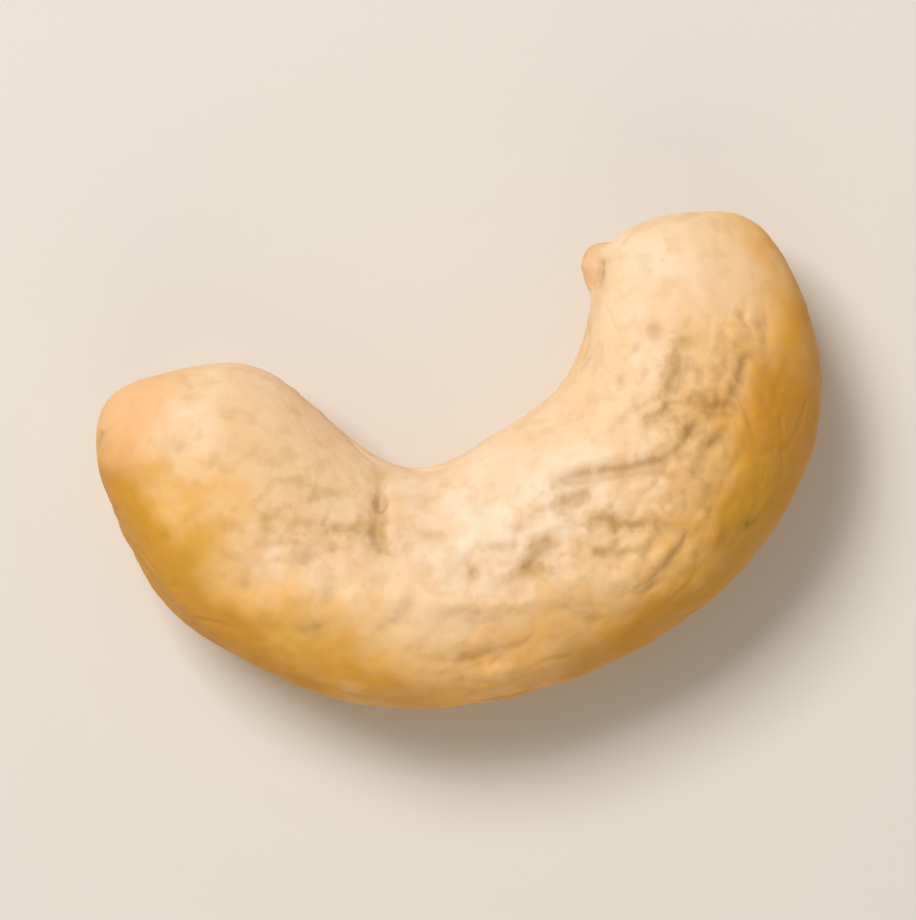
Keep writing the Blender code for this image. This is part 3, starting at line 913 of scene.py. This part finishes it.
class PatchSize(Enum):
    """Sizes of soft patches, as the inputs of their group."""

    BROAD = {"Scale": 260.0, "Level": 0.50, "Softness": 0.26}
    MIDDLE = {"Scale": 620.0, "Level": 0.52, "Softness": 0.18}
    MOTTLE = {"Scale": 850.0, "Level": 0.57, "Softness": 0.12, "Detail": 3.0}
    SMALL = {"Scale": 1700.0, "Level": 0.55, "Softness": 0.16, "Detail": 3.0}


@dataclass(frozen=True)
class Tone:
    """A colour that is laid over those below it.

    Attributes:
        mask, share: The mask on the mesh that it follows, if any, and how much shows where that is 1.
        swing: How much more shows there in soft patches, and in which.
        alone: How much shows in soft patches even without the mask, and in which.
    """

    colour: Colour
    mask: str = ""
    share: float = 1.0
    swing: tuple[float, PatchSize] | None = None
    alone: tuple[float, PatchSize] | None = None

    def shown(self, bench: MaterialBench, soft: dict[PatchSize, Socket]) -> Socket:
        """Works out how much of the tone shows, from the soft patches of each size."""
        share = self.share
        if self.swing:
            more, size = self.swing
            share = bench.math("MULTIPLY_ADD", soft[size], more, share)
        share = bench.math("MULTIPLY", bench.mask(self.mask), share) if self.mask else 0.0
        if self.alone:
            more, size = self.alone
            share = bench.math("MULTIPLY_ADD", soft[size], more, share, clamp=True)
        return share


@dataclass(frozen=True)
class FleshFinish:
    """The kernel's flesh: cream above, golden on its outer side, tan at the blunt end, brown in its creases.
    The gold and the rim's deeper gold are partly painted shade, and the brown in the creases and the seam is
    painted shade.

    Attributes:
        grit, wrinkle: The scale and the share of finer noise of the grain all over and of the coarse grain.
        subsurface_scale, bump_height: How far light goes in and how high the grain stands, in metres.
    """

    cream: Colour = (0.92, 0.65, 0.37)
    ivory: Colour = (0.97, 0.79, 0.60)
    rosy: Colour = (0.92, 0.60, 0.34)
    # Greyish tan: partly the skin's dry tone, partly painted shade.
    dry_and_shade: Colour = (0.65, 0.38, 0.13)
    # Gold of the outer side: partly the flesh's own colour, partly painted shade.
    gold_and_side_shade: Colour = (0.90, 0.46, 0.075)
    # Deeper gold of the rim: partly its own colour, partly painted shade.
    ochre_and_rim_shade: Colour = (0.65, 0.28, 0.014)
    tan: Colour = (0.90, 0.47, 0.18)
    tip: Colour = (0.62, 0.33, 0.13)
    # Brown of the coarse spots, and the painted shade of the creases and the seam.
    brown_and_crease_shade: Colour = (0.45, 0.29, 0.12)
    olive: Colour = (0.62, 0.36, 0.040)
    roughness: float = 0.50
    roughness_swing: float = 0.12
    specular: float = 0.28
    subsurface: float = 0.12
    subsurface_radius: Triple = (1.0, 0.45, 0.18)
    subsurface_scale: float = 0.0010
    grit: Range = (3200.0, 0.5)
    wrinkle: Range = (1500.0, 0.3)
    wrinkle_gain: float = 2.0
    bump_height: float = 0.00003
    bump_strength: float = 0.50

    def tones(self) -> list[Tone]:
        """The tones from the lowest to the highest, all over plain cream."""
        broad, middle, mottle, small = PatchSize
        return [
            Tone(self.ivory, "ivory", 0.92, alone=(0.30, broad)),
            Tone(self.rosy, alone=(0.45, middle)),
            Tone(self.rosy, "rosy", 0.60),
            # Gold on the outer side, partly painted shade.
            Tone(self.gold_and_side_shade, "side", 0.75, swing=(0.25, middle)),
            # Greyish tan, partly painted shade round the furrows and in darker spots.
            Tone(self.dry_and_shade, "dry_and_shade", 0.48, swing=(0.20, small), alone=(0.20, mottle)),
            Tone(self.tan, "blunt", 0.58),
            # Deeper gold at the rim, partly painted shade.
            Tone(self.ochre_and_rim_shade, "rim"),
            Tone(self.olive, "olive", 0.48, swing=(0.30, middle)),
            Tone(self.brown_and_crease_shade, "rough", 0.0, swing=(0.26, small), alone=(0.02, small)),
            Tone(self.tip, "tip"),
            # Painted shade in the creases and along the seam.
            Tone(self.brown_and_crease_shade, "deep"),
        ]

    def material(self) -> bpy.types.Material:
        """Builds the finish.

        Returns:
            The material.
        """
        bench = MaterialBench("kernel_flesh")
        soft = {size: bench.group(patches_group(), **size.value) for size in PatchSize}
        colour = self.cream
        for tone in self.tones():
            colour = bench.mix(tone.shown(bench, soft), colour, tone.colour)
        bench.link(colour, bench.shader.inputs["Base Color"])
        rougher = bench.math("MULTIPLY_ADD", soft[PatchSize.MIDDLE], self.roughness_swing, self.roughness)
        bench.link(rougher, bench.shader.inputs["Roughness"])
        bench.put(
            bench.shader,
            Specular_IOR_Level=self.specular,
            Subsurface_Weight=self.subsurface,
            Subsurface_Radius=self.subsurface_radius,
            Subsurface_Scale=self.subsurface_scale,
        )
        grit, coarse = (
            bench.group(grain_group(), Scale=scale, Fine_Share=share)
            for scale, share in (self.grit, self.wrinkle)
        )
        coarse = bench.math("MULTIPLY", bench.mask("rough"), coarse)
        height = bench.math("MULTIPLY_ADD", coarse, self.wrinkle_gain, grit)
        bench.bump(height, self.bump_height, self.bump_strength)
        return bench.material


@dataclass(frozen=True)
class FloorFinish:
    """A plain, pale, matte floor with a faint grain."""

    colour: Colour = (0.80, 0.77, 0.72)
    roughness: float = 0.8
    grain_scale: float = 900.0
    fine_share: float = 0.4
    bump_height: float = 0.00002
    bump_strength: float = 0.2

    def material(self) -> bpy.types.Material:
        """Builds the finish.

        Returns:
            The material.
        """
        bench = MaterialBench("plain_floor")
        bench.put(bench.shader, Base_Color=(*self.colour, 1.0), Roughness=self.roughness)
        height = bench.group(grain_group(), Scale=self.grain_scale, Fine_Share=self.fine_share)
        bench.bump(height, self.bump_height, self.bump_strength)
        return bench.material


def placed(name: str, data: bpy.types.ID) -> bpy.types.Object:
    """Puts an object into the scene, with this mesh, light or camera."""
    made = bpy.data.objects.new(name, data)
    bpy.context.scene.collection.objects.link(made)
    return made


@dataclass
class CashewKernel:
    """The kernel's skin in full detail, which stands for the solid.

    Attributes:
        faces_along, faces_across: Faces of the mesh along each side, and across each side and each end.
        seam_face_share: How high the faces at the seam are, in shares of an even height.
        end_gathering: How far the faces gather towards the ends, from 0 to 1.
    """

    form: KernelForm = field(default_factory=KernelForm)
    furrows: FurrowField = field(default_factory=FurrowField)
    tones: FleshTones = field(default_factory=FleshTones)
    finish: FleshFinish = field(default_factory=FleshFinish)
    faces_along: int = 300
    faces_across: int = 68
    seam_face_share: float = 0.75
    end_gathering: float = 0.70

    def fine_cube(self) -> bmesh.types.BMesh:
        """A cube cut into a grid of faces, more of them along X than across."""
        grid = bmesh.new()
        bmesh.ops.create_cube(grid, size=2.0)
        lengthwise = [e for e in grid.edges if e.verts[0].co.x != e.verts[1].co.x]
        bmesh.ops.subdivide_edges(grid, edges=lengthwise, cuts=self.faces_along - 1, use_grid_fill=True)
        near = 1.0 / self.faces_along
        crosswise = [e for e in grid.edges if abs(e.verts[0].co.x - e.verts[1].co.x) < near]
        bmesh.ops.subdivide_edges(grid, edges=crosswise, cuts=self.faces_across - 1, use_grid_fill=True)
        return grid

    def plain_skin(self, grid: bmesh.types.BMesh) -> Skin:
        """The plain skin at the direction that each corner of the cube stands for."""
        corners = np.array([v.co for v in grid.verts])
        corners[:, 2] *= self.seam_face_share + (1.0 - self.seam_face_share) * np.abs(corners[:, 2])
        direction = np.tan(corners * math.pi / 4.0)
        direction /= np.linalg.norm(direction, axis=1)[:, None]
        share = np.arccos(np.clip(-direction[:, 0], -1.0, 1.0)) / math.pi
        share -= self.end_gathering * np.sin(2.0 * math.pi * share) / (2.0 * math.pi)
        turn = np.arctan2(direction[:, 2], direction[:, 1])
        return self.form.skin(share * self.form.last_place, turn)

    @staticmethod
    def place_corners(grid: bmesh.types.BMesh, points: Array) -> Array:
        """Moves the corners of the grid to the points, and returns the mesh's normals there."""
        for corner, point in zip(grid.verts, points):
            corner.co = point
        grid.normal_update()
        return np.array([v.normal for v in grid.verts])

    def build(self) -> bpy.types.Object:
        """Builds and dresses the piece.

        Returns:
            The piece.
        """
        grid = self.fine_cube()
        skin = self.plain_skin(grid)
        normals = self.place_corners(grid, skin.points)
        height = self.form.relief(skin) + self.furrows.broad_relief(skin)
        skin.points = skin.points + normals * height[:, None]
        foot = skin.points[:, 2].min() + self.form.foot_depth
        middle = (skin.points[:, :2].min(axis=0) + skin.points[:, :2].max(axis=0)) / 2.0
        normals = self.place_corners(grid, skin.points)
        fine = self.furrows.fine_relief(skin, self.form)
        points = skin.points + normals * fine[:, None]
        points -= (*middle, foot)
        points[:, 2] = np.maximum(points[:, 2], 0.0)
        self.place_corners(grid, points * METRES_PER_MILLIMETRE)
        mesh = bpy.data.meshes.new(PIECE_NAME)
        grid.to_mesh(mesh)
        grid.free()
        mesh.shade_smooth()
        for name, values in self.tones.masks(skin, fine, self.form, self.furrows).items():
            mesh.attributes.new(name, "FLOAT", "POINT").data.foreach_set("value", values.astype(np.float32))
        mesh.materials.append(self.finish.material())
        piece = placed(PIECE_NAME, mesh)
        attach(piece, ROOT_BODY)
        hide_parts(KERNEL_NODE)
        return piece


@dataclass(frozen=True)
class SoftLight:
    """A square soft light that faces the kernel. Angles are in degrees, lengths in metres, power in watts."""

    name: str
    azimuth: float
    elevation: float
    away: float
    size: float
    power: float
    colour: Colour

    def hang(self) -> bpy.types.Object:
        """Hangs the light."""
        data = bpy.data.lights.new(self.name, "AREA")
        data.size = self.size
        data.energy = self.power
        data.color = self.colour
        light = placed(self.name, data)
        turn, rise = math.radians(self.azimuth), math.radians(self.elevation)
        towards = Vector((math.cos(turn) * math.cos(rise), math.sin(turn) * math.cos(rise), math.sin(rise)))
        light.location = towards * self.away
        light.rotation_euler = towards.to_track_quat("Z", "Y").to_euler()
        return light


@dataclass
class Studio:
    """A plain floor, soft light from above and behind, and a camera that looks straight down.

    Attributes:
        view_width: How wide the picture is at the kernel, in shares of its length.
        lens: The camera's focal length in millimetres. The other lengths are in metres.
    """

    view_width: float = 1.27
    lens: float = 200.0
    clip_start: float = 0.01
    floor_size: float = 3.0
    floor: FloorFinish = field(default_factory=FloorFinish)
    lights: tuple[SoftLight, ...] = (
        SoftLight("key", 130.0, 58.0, 0.40, 0.15, 1.14, (1.0, 0.97, 0.93)),
        SoftLight("fill", -82.0, 40.0, 0.45, 0.35, 0.30, (1.0, 0.83, 0.53)),
    )
    sky_colour: Colour = (1.0, 0.96, 0.90)
    sky_strength: float = 0.32

    def add_floor(self) -> bpy.types.Object:
        """Lays the floor at the height that the kernel rests on."""
        grid = bmesh.new()
        bmesh.ops.create_grid(grid, x_segments=1, y_segments=1, size=self.floor_size / 2.0)
        mesh = bpy.data.meshes.new("floor")
        grid.to_mesh(mesh)
        grid.free()
        mesh.materials.append(self.floor.material())
        floor = placed("floor", mesh)
        return floor

    def add_camera(self) -> bpy.types.Object:
        """Hangs the camera over the kernel, with +Y up in the picture."""
        low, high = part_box(KERNEL_NODE)
        width = (high[0] - low[0]) * self.view_width
        data = bpy.data.cameras.new("camera")
        data.lens = self.lens
        data.clip_start = self.clip_start
        camera = placed("camera", data)
        away = width * self.lens / data.sensor_width
        camera.location = ((low[0] + high[0]) / 2.0, (low[1] + high[1]) / 2.0, high[2] / 2.0 + away)
        bpy.context.scene.camera = camera
        return camera

    def add_sky(self) -> None:
        """Fills the scene with faint even light."""
        world = bpy.data.worlds.new("studio")
        world.use_nodes = True
        sky = world.node_tree.nodes["Background"]
        sky.inputs["Color"].default_value = (*self.sky_colour, 1.0)
        sky.inputs["Strength"].default_value = self.sky_strength
        bpy.context.scene.world = world

    def build(self) -> bpy.types.Object:
        """Builds the whole studio.

        Returns:
            The floor.
        """
        floor = self.add_floor()
        for light in self.lights:
            light.hang()
        self.add_camera()
        self.add_sky()
        bpy.context.scene.view_settings.view_transform = "Standard"
        return floor


def main() -> None:
    """Builds the studio and the kernel."""
    logging.basicConfig(level=logging.INFO, format="%(message)s")
    for piece in (Studio().build(), CashewKernel().build()):
        LOG.info("%s: %d faces", piece.name, len(piece.data.polygons))


if __name__ == "__main__":
    main()
